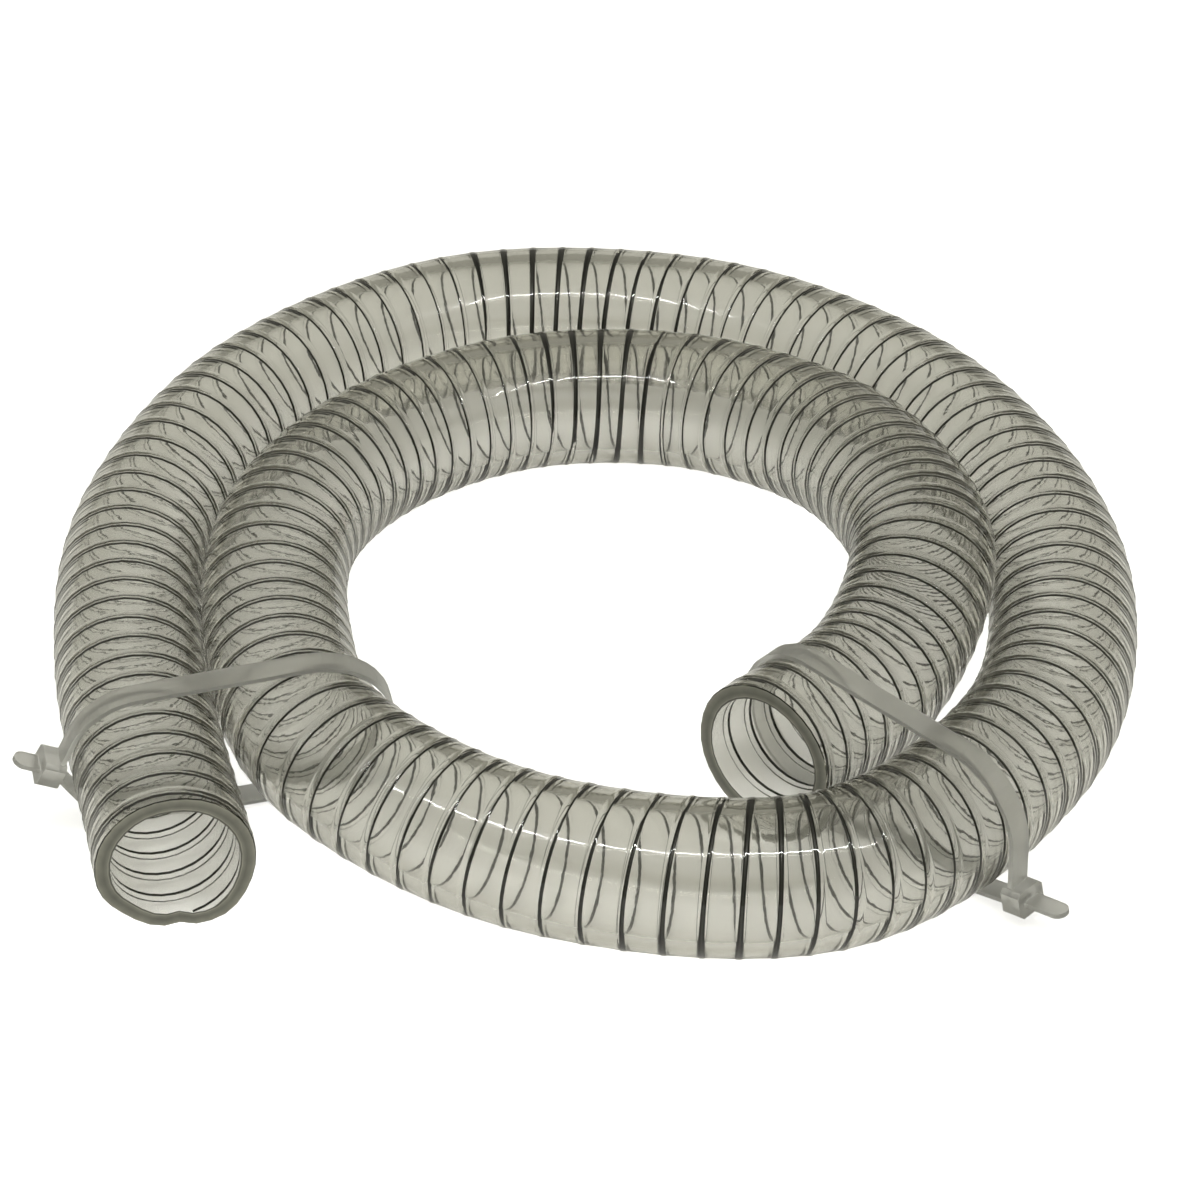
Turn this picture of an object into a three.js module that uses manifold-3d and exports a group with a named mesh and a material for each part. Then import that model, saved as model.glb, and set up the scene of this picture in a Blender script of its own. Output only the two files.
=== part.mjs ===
// A length of clear flexible PVC hose lying in a loose coil of nearly two turns, with a nylon cable tie
// round both strands beside each of its ends. Millimetres, +Z up. The origin is on the floor, under the
// middle of the whole object's box.
import * as THREE from 'three';
import { mergeVertices } from 'three/addons/utils/BufferGeometryUtils.js';
import Module from 'manifold-3d';

const wasm = await Module();
wasm.setup();

// Hose
const HOSE_OUTER = 31;
const HOSE_WALL = 3;
const HOSE_BORE = HOSE_OUTER - 2 * HOSE_WALL;
const HOSE_LENGTH = 1043.5;
const HOSE_SIDES = 20;
const HOSE_STEPS = 92;

// Coil, seen from above: it starts at the first end and runs clockwise round its middle. The outer turn
// has a radius every COIL_STEP degrees. The inner turn lies against the outer one, so it has its gap to
// that instead. Both have the height of the hose's underside over the floor.
const COIL_MIDDLE = new THREE.Vector2(7, 1.1);
const COIL_START = -130;
const COIL_STEP = 30;
const OUTER_RADII = [137, 110.5, 106.5, 108.5, 110.5, 104, 96, 91.5, 94.5, 104, 114.5, 101.5, 93.7];
const INNER_GAPS = [0.7, 1, 5, 9, 4, 1, 0.7, 0.7, 6, 5];
const LIFTS = [
  1.9, 2.2, 0.2, 0.6, 0.5, 0.3, 0.1, 0.1, 0.1, 1, 2.5, 0.3,
  3.9, 1.8, 1.6, 0.2, 0.4, 0.2, 3, 7.5, 9, 2.2, 4.3,
];

// Cable ties
const TIE_WIDTH = 4.8;
const TIE_THICKNESS = 1;
const TIE_CLEARANCE = 0.35;
const TIE_POINTS = 60;
const MOUTH_RADIUS = 0.3;
const SURFACE_STEP = 0.5;
const SURFACE_DEGREES = 4;
const SWEEP_STEPS = 4000;
const HEAD_WIDTH = 7.2;
const HEAD_HEIGHT = 6;
const HEAD_DEPTH = 4.6;
const HEAD_CHAMFER = 0.9;
const TAIL_WIDTH = 4.2;
const TAIL_ROOT = 0.5;

// Each tie: how far it lies from its end of the hose, how many degrees over a whole turn away it
// crosses the strand beside that, how far its plane leans, where the head sits (its distance from the
// hose and its angle above the level), how far the tail tilts up, and the length of tail that shows.
const TIES = {
  cable_tie_left: { fromEnd: 36, skew: -8, lean: 8, headOut: 2.2, headAngle: 0, tailTilt: 31, tail: 5.5 },
  cable_tie_right: { fromEnd: 16.5, skew: 4.8, lean: -7, headOut: 4.4, headAngle: -37, tailTilt: 13, tail: 9 },
};

const rad = THREE.MathUtils.degToRad;

// The coil's middle line, by angle, long enough for the whole hose. Past the first turn, each point lies
// one hose diameter and the gap inside the point a whole turn before it, or less where it is raised.
function coilPoint(index, radii) {
  const turn = 360 / COIL_STEP;
  const lift = (i) => LIFTS[Math.min(i, LIFTS.length - 1)];
  if (index < OUTER_RADII.length) {
    radii.push(OUTER_RADII[index]);
  } else {
    const gap = INNER_GAPS[Math.min(index - OUTER_RADII.length, INNER_GAPS.length - 1)];
    const rise = lift(index) - lift(index - turn);
    radii.push(radii[index - turn] - Math.sqrt(HOSE_OUTER ** 2 - rise ** 2) - gap);
  }
  const angle = rad(COIL_START - COIL_STEP * index);
  const x = COIL_MIDDLE.x + radii[index] * Math.cos(angle);
  const y = COIL_MIDDLE.y + radii[index] * Math.sin(angle);
  return new THREE.Vector3(x, y, HOSE_OUTER / 2 + lift(index));
}

function coilCurve() {
  const radii = [];
  const points = [coilPoint(0, radii)];
  let curve;
  do {
    points.push(coilPoint(points.length, radii));
    curve = new THREE.CatmullRomCurve3(points, false, 'catmullrom', 0.5);
    curve.arcLengthDivisions = 40 * points.length;
  } while (curve.getLength() < HOSE_LENGTH);
  return curve;
}

// The hose's middle line: the first HOSE_LENGTH of the coil
class HoseRoute extends THREE.Curve {
  constructor(coil) {
    super();
    this.coil = coil;
    this.share = HOSE_LENGTH / coil.getLength();
    this.arcLengthDivisions = 4 * HOSE_STEPS;
  }

  getPoint(t, target = new THREE.Vector3()) {
    return this.coil.getPointAt(Math.min(t * this.share, 1), target);
  }
}

const route = new HoseRoute(coilCurve());

// How many degrees the hose has gone round the coil's middle at each of SWEEP_STEPS places along it
const sweeps = [0];
for (let i = 1; i <= SWEEP_STEPS; i += 1) {
  const [from, to] = [i - 1, i].map((k) => route.getPoint(k / SWEEP_STEPS));
  const change = new THREE.Vector2(from.x, from.y).sub(COIL_MIDDLE).angle()
    - new THREE.Vector2(to.x, to.y).sub(COIL_MIDDLE).angle();
  sweeps.push(sweeps.at(-1) + THREE.MathUtils.radToDeg(Math.atan2(Math.sin(change), Math.cos(change))));
}

// A place is a share of the hose's length, from 0 to 1.
const sweepAt = (place) => sweeps[Math.round(place * SWEEP_STEPS)];
const placeAt = (sweep) => sweeps.findIndex((value) => value >= sweep) / SWEEP_STEPS;

// Booleans
function solidOf(geometry) {
  geometry.deleteAttribute('normal');
  geometry.deleteAttribute('uv');
  const merged = mergeVertices(geometry, 1e-4);
  return new wasm.Manifold(new wasm.Mesh({
    numProp: 3,
    vertProperties: new Float32Array(merged.attributes.position.array),
    triVerts: new Uint32Array(merged.index.array),
  }));
}

function geometryOf(solid) {
  const mesh = solid.getMesh();
  const geometry = new THREE.BufferGeometry();
  geometry.setAttribute('position', new THREE.BufferAttribute(mesh.vertProperties, 3));
  geometry.setIndex(new THREE.BufferAttribute(mesh.triVerts, 1));
  geometry.computeVertexNormals();
  return geometry;
}

// A flat outline drawn on two axes and thickened along the third, from `depthFrom` on
function extrudeOn(shape, origin, xAxis, yAxis, depthFrom, depth) {
  const zAxis = new THREE.Vector3().crossVectors(xAxis, yAxis);
  const geometry = new THREE.ExtrudeGeometry(shape, { depth, bevelEnabled: false, curveSegments: 8 });
  geometry.translate(0, 0, depthFrom);
  geometry.applyMatrix4(new THREE.Matrix4().makeBasis(xAxis, yAxis, zAxis).setPosition(origin));
  return geometry;
}

function hoseWall() {
  const section = new THREE.Shape().absarc(0, 0, HOSE_OUTER / 2, 0, 2 * Math.PI);
  section.holes.push(new THREE.Path().absarc(0, 0, HOSE_BORE / 2, 0, 2 * Math.PI, true));
  return new THREE.ExtrudeGeometry(section, {
    steps: HOSE_STEPS,
    curveSegments: HOSE_SIDES / 2,
    extrudePath: route,
  });
}

// The plane that a tie lies in: its origin is in the middle of the outermost strand that it goes round,
// its level axis points from there to the innermost one, and its third axis runs along the hose.
function tiePlane(places, lean) {
  const [outer, inner] = [places.at(0), places.at(-1)];
  const origin = route.getPoint(outer);
  const level = route.getPoint(inner).sub(origin).normalize();
  const along = route.getTangent(outer).add(route.getTangent(inner));
  along.addScaledVector(level, -along.dot(level)).normalize();
  along.applyAxisAngle(level, rad(lean));
  const up = new THREE.Vector3().crossVectors(level, along);
  return { places, origin, level, up, along };
}

// What the strap goes round, in its plane: the mouth of the head, and every place on the hose's surface
// that lies under the strap's width
function strapRounds(plane, mouth) {
  const rounds = [{ x: mouth.x, y: mouth.y, radius: MOUTH_RADIUS }];
  for (const place of plane.places) {
    for (let s = -HOSE_OUTER; s <= HOSE_OUTER; s += SURFACE_STEP) {
      const t = THREE.MathUtils.clamp(place + s / HOSE_LENGTH, 0, 1);
      const along = route.getTangent(t);
      const side = new THREE.Vector3().crossVectors(along, plane.up).normalize();
      for (let degrees = 0; degrees < 360; degrees += SURFACE_DEGREES) {
        const point = side.clone().applyAxisAngle(along, rad(degrees)).multiplyScalar(HOSE_OUTER / 2);
        point.add(route.getPoint(t)).sub(plane.origin);
        if (Math.abs(point.dot(plane.along)) <= TIE_WIDTH / 2 + SURFACE_STEP) {
          rounds.push({ x: point.dot(plane.level), y: point.dot(plane.up), radius: TIE_CLEARANCE });
        }
      }
    }
  }
  return rounds;
}

// The tight line round them all, `extra` outside them: in each direction, the furthest point of any
function strapLine(rounds, extra) {
  const line = [];
  for (let i = 0; i < TIE_POINTS; i += 1) {
    const angle = (i / TIE_POINTS) * 2 * Math.PI;
    const direction = new THREE.Vector2(Math.cos(angle), Math.sin(angle));
    const reach = (round) => round.x * direction.x + round.y * direction.y + round.radius;
    const furthest = rounds.reduce((best, round) => (reach(round) > reach(best) ? round : best));
    const point = new THREE.Vector2(furthest.x, furthest.y);
    line.push(point.addScaledVector(direction, furthest.radius + extra));
  }
  return line;
}

function headOutline() {
  const x = HEAD_HEIGHT / 2;
  const y = HEAD_WIDTH / 2;
  const c = HEAD_CHAMFER;
  return new THREE.Shape([
    new THREE.Vector2(x, c - y),
    new THREE.Vector2(x, y - c),
    new THREE.Vector2(x - c, y),
    new THREE.Vector2(c - x, y),
    new THREE.Vector2(-x, y - c),
    new THREE.Vector2(-x, c - y),
    new THREE.Vector2(c - x, -y),
    new THREE.Vector2(x - c, -y),
  ]);
}

// The tail runs out of the head, and its tip is round
function tailOutline(length) {
  const half = TAIL_WIDTH / 2;
  return new THREE.Shape()
    .moveTo(-TAIL_ROOT, -half)
    .lineTo(length - half, -half)
    .absarc(length - half, 0, half, -Math.PI / 2, Math.PI / 2)
    .lineTo(-TAIL_ROOT, half);
}

// A tie's strap, head and tail are one moulded piece.
function cableTie(places, { lean, headOut, headAngle, tailTilt, tail }) {
  const plane = tiePlane(places, lean);
  const out = HOSE_OUTER / 2 + headOut;
  const mouth = new THREE.Vector2(-out * Math.cos(rad(headAngle)), out * Math.sin(rad(headAngle)));
  const rounds = strapRounds(plane, mouth);
  const loop = new THREE.Shape(strapLine(rounds, TIE_THICKNESS));
  loop.holes.push(new THREE.Path(strapLine(rounds, 0).reverse()));
  const strap = extrudeOn(loop, plane.origin, plane.level, plane.up, -TIE_WIDTH / 2, TIE_WIDTH);

  const outward = new THREE.Vector3()
    .addScaledVector(plane.level, -Math.cos(rad(tailTilt)))
    .addScaledVector(plane.up, Math.sin(rad(tailTilt)));
  const rise = new THREE.Vector3().crossVectors(plane.along, outward);
  const face = plane.origin.clone()
    .addScaledVector(plane.level, mouth.x)
    .addScaledVector(plane.up, mouth.y);
  const head = extrudeOn(headOutline(), face, rise, plane.along, 0, HEAD_DEPTH);

  const tailStart = face.clone().addScaledVector(outward, HEAD_DEPTH);
  const half = TIE_THICKNESS / 2;
  const tip = extrudeOn(tailOutline(tail), tailStart, outward, plane.along, -half, TIE_THICKNESS);
  return geometryOf(solidOf(strap).add(solidOf(head)).add(solidOf(tip)));
}

const pvc = new THREE.MeshStandardMaterial({ color: 0xb9b7a8, roughness: 0.15, transparent: true, opacity: 0.45 });
const nylon = new THREE.MeshStandardMaterial({ color: 0xd2d2cc, roughness: 0.4, transparent: true, opacity: 0.8 });

const model = new THREE.Group();

function addPiece(name, geometry, material) {
  const mesh = new THREE.Mesh(geometry, material.clone());
  mesh.name = name;
  model.add(mesh);
}

addPiece('hose_wall', hoseWall(), pvc);

// The left tie holds the hose's first end to the next strand inside it.
const left = TIES.cable_tie_left;
const leftPlace = left.fromEnd / HOSE_LENGTH;
const leftPlaces = [leftPlace, placeAt(sweepAt(leftPlace) + 360 + left.skew)];
addPiece('cable_tie_left', cableTie(leftPlaces, left), nylon);

// The right tie holds its last end to every strand outside it.
const right = TIES.cable_tie_right;
const rightPlaces = [1 - right.fromEnd / HOSE_LENGTH];
while (sweepAt(rightPlaces[0]) > 360 + right.skew) {
  rightPlaces.unshift(placeAt(sweepAt(rightPlaces[0]) - 360 - right.skew));
}
addPiece('cable_tie_right', cableTie(rightPlaces, right), nylon);

export default model;
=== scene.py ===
import math

import bmesh
import bpy
import numpy as np
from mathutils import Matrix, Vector


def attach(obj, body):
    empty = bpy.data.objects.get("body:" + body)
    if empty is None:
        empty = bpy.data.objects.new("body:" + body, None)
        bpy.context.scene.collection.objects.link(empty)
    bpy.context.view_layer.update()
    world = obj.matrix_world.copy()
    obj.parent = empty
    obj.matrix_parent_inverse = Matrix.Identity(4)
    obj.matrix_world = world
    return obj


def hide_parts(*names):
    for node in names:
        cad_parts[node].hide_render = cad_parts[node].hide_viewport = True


# Clear hose in a loose flat coil, with a nylon cable tie beside each end. The frame is the CAD's. Lengths of
# the object are in mm here, and make_piece turns them into metres.
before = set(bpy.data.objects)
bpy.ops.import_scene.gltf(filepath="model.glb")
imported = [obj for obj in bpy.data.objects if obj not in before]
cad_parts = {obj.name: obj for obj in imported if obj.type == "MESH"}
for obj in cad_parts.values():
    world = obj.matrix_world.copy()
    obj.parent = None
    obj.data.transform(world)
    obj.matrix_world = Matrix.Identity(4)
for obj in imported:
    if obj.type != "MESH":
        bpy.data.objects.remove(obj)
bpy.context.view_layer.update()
MM = 0.001
scene = bpy.context.scene

# ---------------------------------------------------------------- camera
CAM_AIM = np.array([1.3, 10.2, 0.0]) * MM
CAM_DOWN = math.radians(34.98)
CAM_AWAY = 828.3 * MM
CAM_LENS_PIXELS = 3735.9
FRAME_PIXELS = 1200
SENSOR = 36
CLIP_NEAR, CLIP_FAR = 0.01, 50

cam_data = bpy.data.cameras.new("camera")
cam_data.lens = CAM_LENS_PIXELS / FRAME_PIXELS * SENSOR
cam_data.sensor_width = SENSOR
cam_data.clip_start = CLIP_NEAR
cam_data.clip_end = CLIP_FAR
camera = bpy.data.objects.new("camera", cam_data)
scene.collection.objects.link(camera)
look = np.array([0, math.cos(CAM_DOWN), -math.sin(CAM_DOWN)])
camera.location = CAM_AIM - look * CAM_AWAY
camera.rotation_euler = (math.pi / 2 - CAM_DOWN, 0, 0)
scene.camera = camera

# ---------------------------------------------------------------- the hose's route, as the CAD has it
HOSE_OUTER = 31.0
HOSE_BORE = 25.0
HOSE_LENGTH = 1043.5
COIL_MIDDLE = (7.0, 1.1)
COIL_START = -130
COIL_STEP = 30
OUTER_RADII = [137, 110.5, 106.5, 108.5, 110.5, 104, 96, 91.5, 94.5, 104, 114.5, 101.5, 93.7]
INNER_GAPS = [0.7, 1, 5, 9, 4, 1, 0.7, 0.7, 6, 5]
LIFTS = [
    1.9, 2.2, 0.2, 0.6, 0.5, 0.3, 0.1, 0.1, 0.1, 1, 2.5, 0.3,
    3.9, 1.8, 1.6, 0.2, 0.4, 0.2, 3, 7.5, 9, 2.2, 4.3,
]


def coil_points():
    """Points of the hose's middle line at even angles, with the inner turn set beside the outer one"""
    per_turn = 360 // COIL_STEP
    radii, points = [], []
    for i, lift in enumerate(LIFTS):
        if i < len(OUTER_RADII):
            radii.append(OUTER_RADII[i])
        else:
            rise = lift - LIFTS[i - per_turn]
            beside = math.sqrt(HOSE_OUTER ** 2 - rise ** 2)
            radii.append(radii[i - per_turn] - beside - INNER_GAPS[i - len(OUTER_RADII)])
        a = math.radians(COIL_START - COIL_STEP * i)
        points.append((COIL_MIDDLE[0] + radii[i] * math.cos(a), COIL_MIDDLE[1] + radii[i] * math.sin(a),
                       HOSE_OUTER / 2 + lift))
    return np.array(points)


def smooth_line(points, each=400):
    """A Catmull-Rom line through the points, with `each` steps between two of them"""
    ends = np.vstack([2 * points[0] - points[1], points, 2 * points[-1] - points[-2]])
    t = np.linspace(0, 1, each, endpoint=False)[:, None]
    parts = []
    for i in range(len(points) - 1):
        a, b, c, d = ends[i:i + 4]
        m0, m1 = (c - a) / 2, (d - b) / 2
        parts.append(b + m0 * t + (3 * (c - b) - 2 * m0 - m1) * t ** 2 + (2 * (b - c) + m0 + m1) * t ** 3)
    return np.vstack(parts + [points[-1:]])


LINE = smooth_line(coil_points())
RUN = np.concatenate([[0], np.cumsum(np.linalg.norm(np.diff(LINE, axis=0), axis=1))])
SLOPE = np.gradient(LINE, RUN, axis=0)
SLOPE /= np.linalg.norm(SLOPE, axis=1)[:, None]


def place(s):
    """Where the hose's middle is after s mm of it, with its directions: sideways, upwards and along"""
    s = np.asarray(s, float)
    inside = np.clip(s, 0, HOSE_LENGTH)
    middle = np.stack([np.interp(inside, RUN, LINE[:, k]) for k in range(3)], -1)
    along = np.stack([np.interp(inside, RUN, SLOPE[:, k]) for k in range(3)], -1)
    along /= np.linalg.norm(along, axis=-1)[..., None]
    middle = middle + along * (s - inside)[..., None]
    side = np.cross(along, [0, 0, 1.0])
    side /= np.linalg.norm(side, axis=-1)[..., None]
    up = np.cross(side, along)
    return middle, side, up, along


def round_place(s, turn, radius):
    """Points at a radius from the hose's middle, `turn` radians round it from sideways towards upwards"""
    middle, side, up, _ = place(s)
    turn, radius = np.asarray(turn)[..., None], np.asarray(radius)[..., None]
    return middle + radius * (np.cos(turn) * side + np.sin(turn) * up)


# ---------------------------------------------------------------- meshes
def make_piece(name, verts, faces, materials, smooth=True, sharp=None):
    """A mesh object from points in mm and quads or triangles"""
    mesh = bpy.data.meshes.new(name)
    mesh.from_pydata((np.asarray(verts, float) * MM).tolist(), [], [list(map(int, f)) for f in faces])
    for m in materials:
        mesh.materials.append(m)
    mesh.polygons.foreach_set("use_smooth", [smooth] * len(mesh.polygons))
    mesh.validate()
    mesh.update()
    if sharp is not None:
        mesh.set_sharp_from_angle(angle=math.radians(sharp))
    obj = bpy.data.objects.new(name, mesh)
    scene.collection.objects.link(obj)
    return obj


def face_share(obj, name, chosen):
    """A face attribute that is 1 where `chosen` is true"""
    obj.data.attributes.new(name, "FLOAT", "FACE").data.foreach_set("value", chosen.astype(float))


# ---------------------------------------------------------------- shader helpers
def new_material(name):
    m = bpy.data.materials.new(name)
    m.use_nodes = True
    nt = m.node_tree
    nt.nodes.clear()
    return m, nt, nt.nodes.new("ShaderNodeOutputMaterial")


def node(nt, kind, **values):
    n = nt.nodes.new(kind)
    for key, value in values.items():
        setattr(n, key, value)
    return n


def link(nt, source, target):
    nt.links.new(source, target)


def noise_at(nt, scale, detail):
    """Noise of so many waves a metre, fixed to the piece"""
    where = node(nt, "ShaderNodeTexCoord")
    noise = node(nt, "ShaderNodeTexNoise")
    noise.inputs["Scale"].default_value = scale
    noise.inputs["Detail"].default_value = detail
    link(nt, where.outputs["Object"], noise.inputs["Vector"])
    return noise.outputs["Fac"]


def mapped(nt, value, low, high):
    ends = node(nt, "ShaderNodeMapRange")
    ends.inputs["To Min"].default_value = low
    ends.inputs["To Max"].default_value = high
    link(nt, value, ends.inputs["Value"])
    return ends.outputs["Result"]


def bump_node(nt, height, strength, distance):
    bump = node(nt, "ShaderNodeBump")
    bump.inputs["Strength"].default_value = strength
    bump.inputs["Distance"].default_value = distance
    link(nt, height, bump.inputs["Height"])
    return bump


def tones(nt, value, stops):
    """A colour ramp from (position, colour) stops"""
    ramp = node(nt, "ShaderNodeValToRGB")
    for _ in stops[2:]:
        ramp.color_ramp.elements.new(0.5)
    for stop, (position, colour) in zip(ramp.color_ramp.elements, stops):
        stop.position = position
        stop.color = (*colour, 1)
    link(nt, value, ramp.inputs["Fac"])
    return ramp.outputs["Color"]


def mixed(nt, share, one, other):
    mix = node(nt, "ShaderNodeMixShader")
    link(nt, share, mix.inputs[0])
    link(nt, one, mix.inputs[1])
    link(nt, other, mix.inputs[2])
    return mix.outputs[0]


def share_of(nt, name):
    return node(nt, "ShaderNodeAttribute", attribute_name=name).outputs["Fac"]


# ---------------------------------------------------------------- clear wall
PVC_IOR = 1.53
PVC_TINT = (0.985, 0.985, 0.97, 1)
PVC_ROUGHNESS = (0.0, 0.07)
ROUGHNESS_GRAIN = (260, 3)
ABSORB_COLOUR = (0.968, 0.966, 0.955, 1)
ABSORB_DENSITY = 500.0
BORE_HAZE = 0.22
HAZE_ROUGHNESS = 0.22
SHADOW_TINT = (0.93, 0.93, 0.93, 1)
# Faults of the moulded wall, long and short: noise scale and detail, bump strength and distance in metres
LONG_FAULTS = (120, 1, 0.06, 0.0006)
SHORT_FAULTS = (450, 2, 0.055, 0.00035)
# The knife's cut: how grey it is from the bore's edge (0) to the outer edge (1), and its marks. The matt
# grey is the cut's own; the bright line a little out from the bore's edge and the lighter outer edge are
# painted highlights
CUT_TONES_AND_HIGHLIGHTS = [(0.0, 0.12), (0.1, 0.14), (0.15, 0.5), (0.2, 0.3), (0.45, 0.19), (0.8, 0.3), (1.0, 0.42)]
CUT_WARMTH = 0.86
CUT_CLEARNESS = 0.4
CUT_GRAIN = (320, 4)
CUT_SPECKLE = (0.7, 1.6)
CUT_ROUGHNESS = (0.35, 0.6)
CUT_BUMP = (0.3, 0.0003)


def see_through(nt, weight):
    p = node(nt, "ShaderNodeBsdfPrincipled")
    p.inputs["Transmission Weight"].default_value = weight
    p.inputs["IOR"].default_value = PVC_IOR
    p.inputs["Base Color"].default_value = PVC_TINT
    return p


def smooth_pvc(nt):
    p = see_through(nt, 1.0)
    long_scale, long_detail, *long_bump = LONG_FAULTS
    short_scale, short_detail, *short_bump = SHORT_FAULTS
    long_faults = bump_node(nt, noise_at(nt, long_scale, long_detail), *long_bump)
    short_faults = bump_node(nt, noise_at(nt, short_scale, short_detail), *short_bump)
    link(nt, long_faults.outputs["Normal"], short_faults.inputs["Normal"])
    link(nt, short_faults.outputs["Normal"], p.inputs["Normal"])
    link(nt, mapped(nt, noise_at(nt, *ROUGHNESS_GRAIN), *PVC_ROUGHNESS), p.inputs["Roughness"])
    return p


def cut_pvc(nt):
    p = see_through(nt, CUT_CLEARNESS)
    marks = noise_at(nt, *CUT_GRAIN)
    # The cut's own grey across the rim, with painted highlights near the bore's edge and at the outer edge
    greys_and_highlights = [(where, (grey, grey, grey * CUT_WARMTH)) for where, grey in CUT_TONES_AND_HIGHLIGHTS]
    speckle = node(nt, "ShaderNodeMix", data_type="RGBA", blend_type="MULTIPLY")
    speckle.inputs["Factor"].default_value = 1.0
    link(nt, tones(nt, share_of(nt, "rim"), greys_and_highlights), speckle.inputs["A"])
    link(nt, mapped(nt, marks, *CUT_SPECKLE), speckle.inputs["B"])
    link(nt, speckle.outputs["Result"], p.inputs["Base Color"])
    link(nt, mapped(nt, marks, *CUT_ROUGHNESS), p.inputs["Roughness"])
    link(nt, bump_node(nt, marks, *CUT_BUMP).outputs["Normal"], p.inputs["Normal"])
    return p


def clear_pvc():
    """Clear wall. Its bore scatters a share of what is seen through it, and the knife leaves its ends
    matt. The face attributes "bore" and "cut" say where, and "rim" goes across the cut."""
    m, nt, out = new_material("clear_pvc")
    hazy = see_through(nt, 1.0)
    hazy.inputs["Roughness"].default_value = HAZE_ROUGHNESS
    haze = node(nt, "ShaderNodeMath", operation="MULTIPLY")
    haze.inputs[1].default_value = BORE_HAZE
    link(nt, share_of(nt, "bore"), haze.inputs[0])
    surface = mixed(nt, haze.outputs[0], smooth_pvc(nt).outputs[0], hazy.outputs[0])
    surface = mixed(nt, share_of(nt, "cut"), surface, cut_pvc(nt).outputs[0])

    through = node(nt, "ShaderNodeBsdfTransparent")
    through.inputs["Color"].default_value = SHADOW_TINT
    path = node(nt, "ShaderNodeLightPath")
    surface = mixed(nt, path.outputs["Is Shadow Ray"], surface, through.outputs[0])
    link(nt, surface, out.inputs["Surface"])
    absorb = node(nt, "ShaderNodeVolumeAbsorption")
    absorb.inputs["Color"].default_value = ABSORB_COLOUR
    absorb.inputs["Density"].default_value = ABSORB_DENSITY
    link(nt, absorb.outputs[0], out.inputs["Volume"])
    return m


# ---------------------------------------------------------------- wire and ties
STEEL_TONES = [(0.0, (0.02, 0.02, 0.018)), (1.0, (0.05, 0.05, 0.045))]
# Colour of the painted highlight along the wire's outward side
STEEL_PAINTED_HIGHLIGHT = (0.06, 0.06, 0.055, 1)
STEEL_GRAIN = (90, 2)
STEEL_ROUGHNESS = 0.35
NYLON_TONES = [(0.0, (0.8, 0.8, 0.775)), (1.0, (0.89, 0.89, 0.865))]
NYLON_GRAIN = (140, 2)
NYLON_ROUGHNESS = 0.3
NYLON_CLEARNESS = 0.85
NYLON_IOR = 1.5


def wire_steel():
    """Dark drawn wire with a painted highlight: the line that faces outwards is given a brighter colour (a
    face attribute marks that line)
    """
    m, nt, out = new_material("wire_steel")
    p = node(nt, "ShaderNodeBsdfPrincipled")
    p.inputs["Metallic"].default_value = 1.0
    p.inputs["Roughness"].default_value = STEEL_ROUGHNESS
    # Painted highlight: the faces on the wire's outward side get a brighter colour than the grain
    grain_and_painted_highlight = node(nt, "ShaderNodeMix", data_type="RGBA")
    grain_and_painted_highlight.inputs["B"].default_value = STEEL_PAINTED_HIGHLIGHT
    link(nt, share_of(nt, "painted_highlight"), grain_and_painted_highlight.inputs["Factor"])
    link(nt, tones(nt, noise_at(nt, *STEEL_GRAIN), STEEL_TONES), grain_and_painted_highlight.inputs["A"])
    link(nt, grain_and_painted_highlight.outputs["Result"], p.inputs["Base Color"])
    link(nt, p.outputs[0], out.inputs["Surface"])
    return m


def natural_nylon():
    """Milky nylon that lets through some of what lies behind it"""
    m, nt, out = new_material("natural_nylon")
    p = node(nt, "ShaderNodeBsdfPrincipled")
    p.inputs["Roughness"].default_value = NYLON_ROUGHNESS
    p.inputs["Transmission Weight"].default_value = NYLON_CLEARNESS
    p.inputs["IOR"].default_value = NYLON_IOR
    link(nt, tones(nt, noise_at(nt, *NYLON_GRAIN), NYLON_TONES), p.inputs["Base Color"])
    link(nt, p.outputs[0], out.inputs["Surface"])
    return m


pvc = clear_pvc()
steel = wire_steel()
nylon = natural_nylon()

# ---------------------------------------------------------------- the wire's turns
# The wire's pitch at even steps along the hose, which is stretched and squeezed as it lies
PITCHES = [
    6.61, 6.65, 6.97, 7.49, 6.68, 6.48, 6.8, 6.4, 7.0, 6.92, 6.59, 6.63, 6.17, 6.63,
    5.33, 7.85, 6.18, 7.11, 7.56, 6.37, 6.31, 6.27, 7.28, 7.82, 4.29, 5.62, 6.9,
]
WIRE_START = math.radians(268)
WIRE_RADIUS = 0.34
WIRE_MIDDLE = 13.3
WIRE_SIDES = 8
WIRE_STEPS = 30
WIRE_INSETS = (0.25, 0.3)
WIRE_SHARP = 50

FINE_BEYOND = 30
FINE_POINTS = 22001
FINE = np.linspace(-FINE_BEYOND, HOSE_LENGTH + FINE_BEYOND, FINE_POINTS)
PITCH_AT = np.interp(FINE, np.linspace(0, HOSE_LENGTH, len(PITCHES)), PITCHES)
TURNS = np.concatenate([[0], np.cumsum(np.diff(FINE) * (1 / PITCH_AT[1:] + 1 / PITCH_AT[:-1]) / 2)])
TURNS -= np.interp(0, FINE, TURNS)


def turns_at(s):
    """How many turns the wire has made by s mm along the hose"""
    return np.interp(s, FINE, TURNS)


def along_at(turns):
    """How many mm along the hose the wire has made so many turns"""
    return np.interp(turns, TURNS, FINE)


def pitch_at(s):
    return np.interp(s, FINE, PITCH_AT)


def beside_wire(s, turn):
    """Distance along the hose to the nearest turn of the wire, in mm"""
    phase = turns_at(s) - (turn - WIRE_START) / (2 * math.pi)
    return (phase - np.round(phase)) * pitch_at(s)


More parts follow.
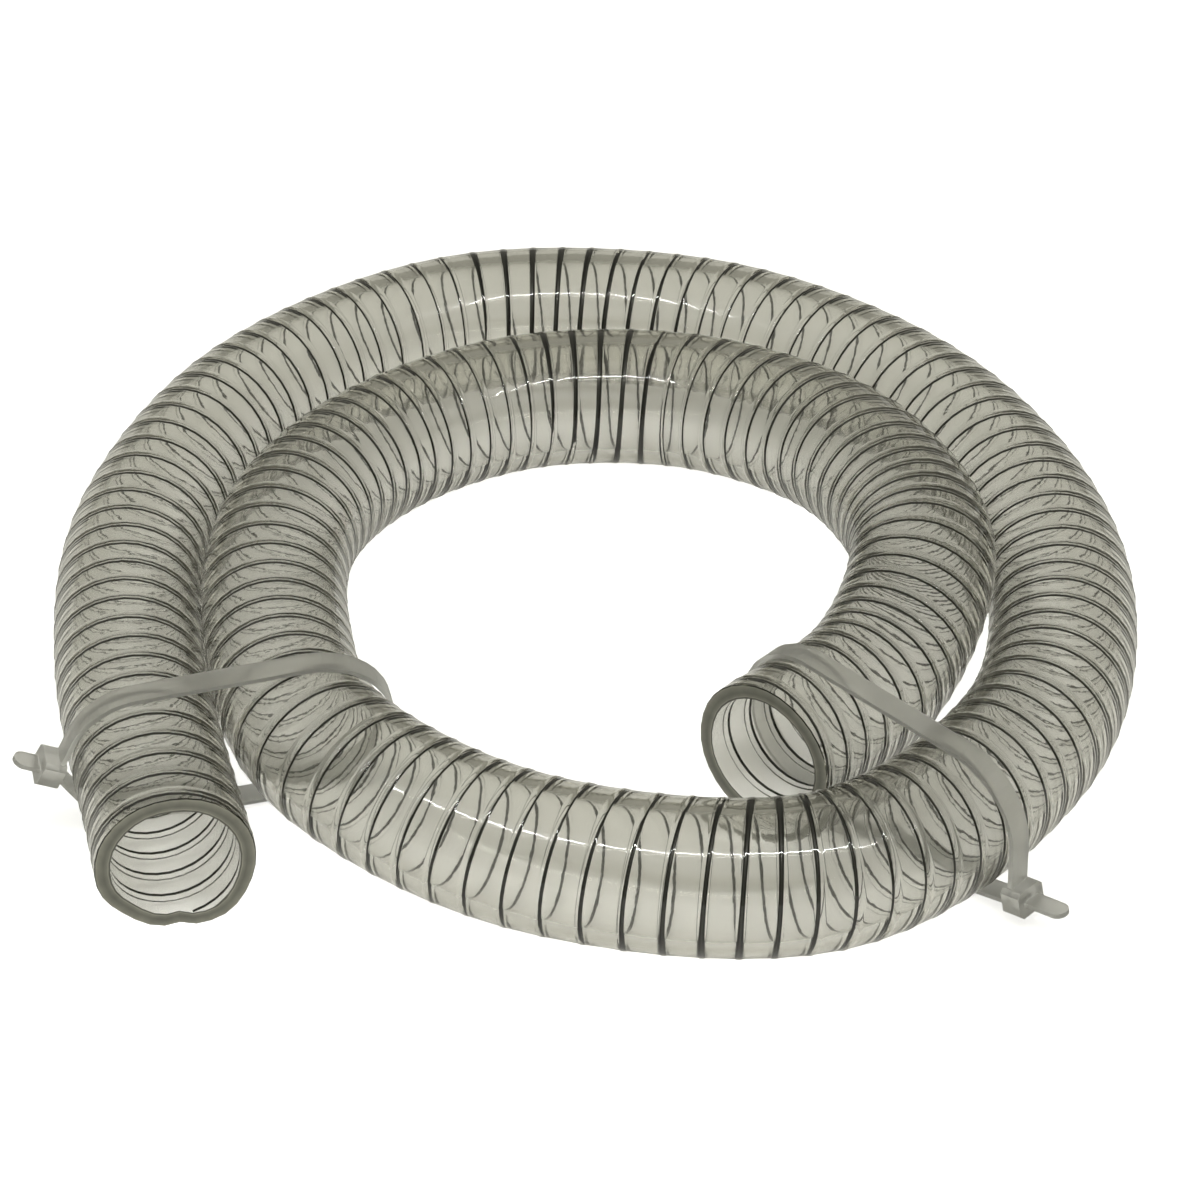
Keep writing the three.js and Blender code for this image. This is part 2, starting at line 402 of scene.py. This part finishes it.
# ---------------------------------------------------------------- the wall
# Over the wire the wall swells into a low rounded ridge, which shows the wire wider than it is. The ridges
# stand a little proud of the hose's mean size, and the wall sags by SAG between them.
RIDGE_RADIUS = 1.9
RIDGE_HALF = 0.7
RIDGE = RIDGE_RADIUS - math.sqrt(RIDGE_RADIUS ** 2 - RIDGE_HALF ** 2)
RIDGE_PROUD = 0.25
SAG = 0.05
BASE_OUTER = HOSE_OUTER / 2 - RIDGE - SAG / 2 + RIDGE_PROUD
AROUND = 32
# Rows of points that follow the wire: beside it in shares of the ridge, and between as shares of the pitch
RIDGE_ROWS = [0.25, 0.5, 0.75, 1, 1.4]
OUTER_ROWS = [0.33, 0.5, 0.67]
INNER_ROWS = [0.33, 0.67]
CHAMFER = 0.2
FLARE = 0.25
FLARE_REACH = 9
# The knife's cuts: waves as (waves a turn, offset in radians, depth in mm), and dents as (direction and
# width in degrees, depth in mm)
CUT_WAVES = [[(3, 0.4, 0.08), (7, 0, 0.06)], [(2, 1.0, 0.14), (5, 0, 0.06)]]
CUT_DENTS = [[(268, 7, 1.2), (308, 26, -1.7), (225, 18, 1.0), (180, 12, -0.5)], []]
SAME_PLACE = 1e-9
WELD_M = 1e-6
WALL_SHARP = 38
OUTSIDE, BORE, CUT = range(3)


def cut_back(turn, end):
    """How far inside the square end each cut lies: a knife leaves it slightly uneven"""
    depth = 0
    for waves, offset, height in CUT_WAVES[end]:
        depth = depth + height * np.sin(waves * turn + offset)
    for direction, width, height in CUT_DENTS[end]:
        off = (turn - math.radians(direction) + math.pi) % (2 * math.pi) - math.pi
        depth = depth + height * np.exp(-(off / math.radians(width)) ** 2)
    return depth


def flare(s):
    """The cut ends spread a little."""
    from_ends = (np.clip(s, 0, None), np.clip(HOSE_LENGTH - s, 0, None))
    return FLARE * sum(np.exp(-(d / FLARE_REACH) ** 2) for d in from_ends)


def outer_radius(s, turn):
    d = beside_wire(s, turn)
    wave = SAG / 2 * np.cos(2 * math.pi * d / pitch_at(s))
    d = np.minimum(np.abs(d), RIDGE_HALF)
    return BASE_OUTER + wave + np.sqrt(RIDGE_RADIUS ** 2 - d ** 2) - (RIDGE_RADIUS - RIDGE) + flare(s)


def inner_radius(s, _turn):
    return HOSE_BORE / 2 + flare(s)


def wall_grid(rows, beside, radius_of, inset):
    """Points whose rows follow the wire's helix, cut off at the hose's ends: `beside` lie so many mm to
    each side of the wire, and `rows` are shares of its pitch."""
    offsets = sorted([(0, 0.0)] + [(0, d) for d in beside] + [(1, -d) for d in beside]
                     + [(r, 0.0) for r in rows])
    per_turn = len(offsets)
    turns = int(math.ceil(turns_at(HOSE_LENGTH))) + 2
    turn = np.linspace(0, 2 * math.pi, AROUND, endpoint=False)
    share = np.array([r for r, _ in offsets])
    shift = np.array([d for _, d in offsets])
    steps = (np.arange(-2, turns)[:, None] + share[None, :]).ravel()
    s = along_at(steps[:, None] + (turn[None, :] - WIRE_START) / (2 * math.pi))
    s = s + np.tile(shift, turns + 2)[:, None]
    low = cut_back(turn, 0) + inset
    high = HOSE_LENGTH - cut_back(turn, 1) - inset
    s = np.clip(s, low[None, :], high[None, :])
    radius = radius_of(s, turn[None, :])
    verts = round_place(s, np.broadcast_to(turn, s.shape), radius).reshape(-1, 3)
    last_row = len(steps) - 1

    def at(i, j):
        """Once round, a row goes on as the row a turn of the wire later."""
        return (i, j) if j < AROUND else (min(i + per_turn, last_row), 0)

    faces = []
    for i in range(last_row):
        for j in range(AROUND):
            quad = [at(i, j), at(i, j + 1), at(i + 1, j + 1), at(i + 1, j)]
            if any(all(abs(s[a, b] - edge[b]) < SAME_PLACE for a, b in quad) for edge in (low, high)):
                continue
            faces.append([a * AROUND + b for a, b in quad])
    first = np.arange(AROUND)
    return verts, faces, first, last_row * AROUND + first


def weld(obj):
    """Joins the points that the cuts brought together, and drops the faces that this empties"""
    bm = bmesh.new()
    bm.from_mesh(obj.data)
    bmesh.ops.remove_doubles(bm, verts=bm.verts, dist=WELD_M)
    bmesh.ops.dissolve_degenerate(bm, edges=bm.edges, dist=WELD_M)
    bmesh.ops.recalc_face_normals(bm, faces=bm.faces)
    for f in bm.faces:
        f.smooth = True
    bm.to_mesh(obj.data)
    bm.free()


def clear_wall():
    beside = [RIDGE_HALF * k for k in RIDGE_ROWS]
    outer, outer_faces, first_out, last_out = wall_grid(OUTER_ROWS, beside, outer_radius, CHAMFER)
    inner, inner_faces, first_in, last_in = wall_grid(INNER_ROWS, [], inner_radius, 0)
    turn = np.linspace(0, 2 * math.pi, AROUND, endpoint=False)
    verts = [outer, inner]
    shift = len(outer)
    faces = outer_faces + [[shift + k for k in f[::-1]] for f in inner_faces]
    kinds = [OUTSIDE] * len(outer_faces) + [BORE] * len(inner_faces)
    first_rim = top = shift + len(inner)
    for end, ring_out, ring_in in ((0, first_out, first_in), (1, last_out, last_in)):
        s = cut_back(turn, 0) if end == 0 else HOSE_LENGTH - cut_back(turn, 1)
        verts.append(round_place(s, turn, outer_radius(s, turn) - CHAMFER))
        for j in range(AROUND):
            k = (j + 1) % AROUND
            chamfer = [top + j, top + k, int(ring_out[k]), int(ring_out[j])]
            face = [shift + int(ring_in[j]), shift + int(ring_in[k]), top + k, top + j]
            faces += [chamfer, face] if end == 0 else [chamfer[::-1], face[::-1]]
            kinds += [OUTSIDE, CUT]
        top += AROUND
    obj = make_piece("clear_hose_wall", np.vstack(verts), faces, [pvc])
    kinds = np.array(kinds)
    face_share(obj, "bore", kinds == BORE)
    face_share(obj, "cut", kinds == CUT)
    rims = np.arange(len(obj.data.vertices)) >= first_rim
    obj.data.attributes.new("rim", "FLOAT", "POINT").data.foreach_set("value", rims.astype(float))
    weld(obj)
    obj.data.set_sharp_from_angle(angle=math.radians(WALL_SHARP))
    return obj


def helix_wire():
    start, stop = turns_at(WIRE_INSETS[0]), turns_at(HOSE_LENGTH - WIRE_INSETS[1])
    n = int((stop - start) * WIRE_STEPS)
    passed = np.linspace(start, stop, n)
    s = along_at(passed)
    line = round_place(s, WIRE_START + 2 * math.pi * passed, np.full(n, WIRE_MIDDLE))
    along = np.gradient(line, axis=0)
    along /= np.linalg.norm(along, axis=1)[:, None]
    out = line - place(s)[0]
    out -= (out * along).sum(1)[:, None] * along
    out /= np.linalg.norm(out, axis=1)[:, None]
    across = np.cross(along, out)
    k = (np.arange(WIRE_SIDES) + 0.5) * 2 * math.pi / WIRE_SIDES
    ring = line[:, None, :] + WIRE_RADIUS * (np.cos(k)[None, :, None] * out[:, None, :]
                                              + np.sin(k)[None, :, None] * across[:, None, :])
    i = np.arange(n - 1)[:, None] * WIRE_SIDES
    j = np.arange(WIRE_SIDES)[None, :]
    j2 = (j + 1) % WIRE_SIDES
    quads = np.stack([i + j, i + WIRE_SIDES + j, i + WIRE_SIDES + j2, i + j2], -1).reshape(-1, 4)
    start_cap = list(range(WIRE_SIDES))
    stop_cap = list(range((n - 1) * WIRE_SIDES, n * WIRE_SIDES))[::-1]
    obj = make_piece("spring_wire", ring.reshape(-1, 3), quads.tolist() + [start_cap, stop_cap], [steel],
                     sharp=WIRE_SHARP)
    # Marks the wire's outward-facing side, which gets the painted highlight
    painted_highlight = np.tile(np.arange(WIRE_SIDES) == WIRE_SIDES - 1, n - 1)
    face_share(obj, "painted_highlight", np.append(painted_highlight, [False, False]))
    return obj


CORD_POINTS = 200

wall = clear_wall()
wire = helix_wire()
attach(wall, "root")
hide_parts("hose_wall")
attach(wire, "root")
hose_path = place(np.linspace(0, HOSE_LENGTH, CORD_POINTS))[0] * MM

for name in ("cable_tie_left", "cable_tie_right"):
    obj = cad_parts[name]
    obj.data.materials.clear()
    obj.data.materials.append(nylon)

# ---------------------------------------------------------------- floor and light
# The room is a dull cream, which is what the clear wall shows. The floor is lifted to white for the camera.
ROOM_COLOUR = (1.0, 0.98, 0.83, 1)
ROOM_LIGHT = 0.3
FLOOR_COLOUR = (0.9, 0.9, 0.9, 1)
FLOOR_HALF = 3000
FLOOR_TOP = -0.3
FLOOR_LIFT = 0.62
# Lights in metres and watts: a long thin tube for the highlights, and a big soft box
TUBE = dict(spot=(0, -0.45, 1.17), width=1.6, depth=0.02, watts=5)
FILL = dict(spot=(0, -0.9, 1.3), width=1.8, depth=1.8, watts=9.3)
BOUNCES = 48
DIFFUSE_BOUNCES = 3


def stage_floor():
    m, nt, out = new_material("pale_floor")
    p = node(nt, "ShaderNodeBsdfDiffuse")
    p.inputs["Color"].default_value = FLOOR_COLOUR
    lift = node(nt, "ShaderNodeEmission")
    path = node(nt, "ShaderNodeLightPath")
    strength = node(nt, "ShaderNodeMath", operation="MULTIPLY")
    strength.inputs[1].default_value = FLOOR_LIFT
    both = node(nt, "ShaderNodeAddShader")
    link(nt, path.outputs["Is Camera Ray"], strength.inputs[0])
    link(nt, strength.outputs[0], lift.inputs["Strength"])
    link(nt, p.outputs[0], both.inputs[0])
    link(nt, lift.outputs[0], both.inputs[1])
    link(nt, both.outputs[0], out.inputs["Surface"])
    corners = [(x * FLOOR_HALF, y * FLOOR_HALF, FLOOR_TOP) for x, y in ((-1, -1), (1, -1), (1, 1), (-1, 1))]
    make_piece("floor", corners, [(0, 1, 2, 3)], [m], smooth=False)


def soft_light(name, spot, width, depth, watts):
    """A flat lamp that faces the middle of the coil"""
    data = bpy.data.lights.new(name, "AREA")
    data.shape = "RECTANGLE"
    data.size, data.size_y = width, depth
    data.energy = watts
    obj = bpy.data.objects.new(name, data)
    scene.collection.objects.link(obj)
    obj.location = spot
    obj.rotation_euler = (-Vector(spot)).to_track_quat("-Z", "Y").to_euler()
    return obj


stage_floor()
soft_light("tube", **TUBE)
fill = soft_light("fill_box", **FILL)
fill.data.color = ROOM_COLOUR[:3]
fill.visible_glossy = False
fill.visible_transmission = False

world = bpy.data.worlds.new("world")
scene.world = world
world.use_nodes = True
background = world.node_tree.nodes["Background"]
background.inputs["Color"].default_value = ROOM_COLOUR
background.inputs["Strength"].default_value = ROOM_LIGHT

scene.view_settings.view_transform = "Standard"
scene.view_settings.look = "None"
scene.cycles.max_bounces = BOUNCES
scene.cycles.transmission_bounces = BOUNCES
scene.cycles.transparent_max_bounces = BOUNCES
scene.cycles.glossy_bounces = BOUNCES
scene.cycles.diffuse_bounces = DIFFUSE_BOUNCES
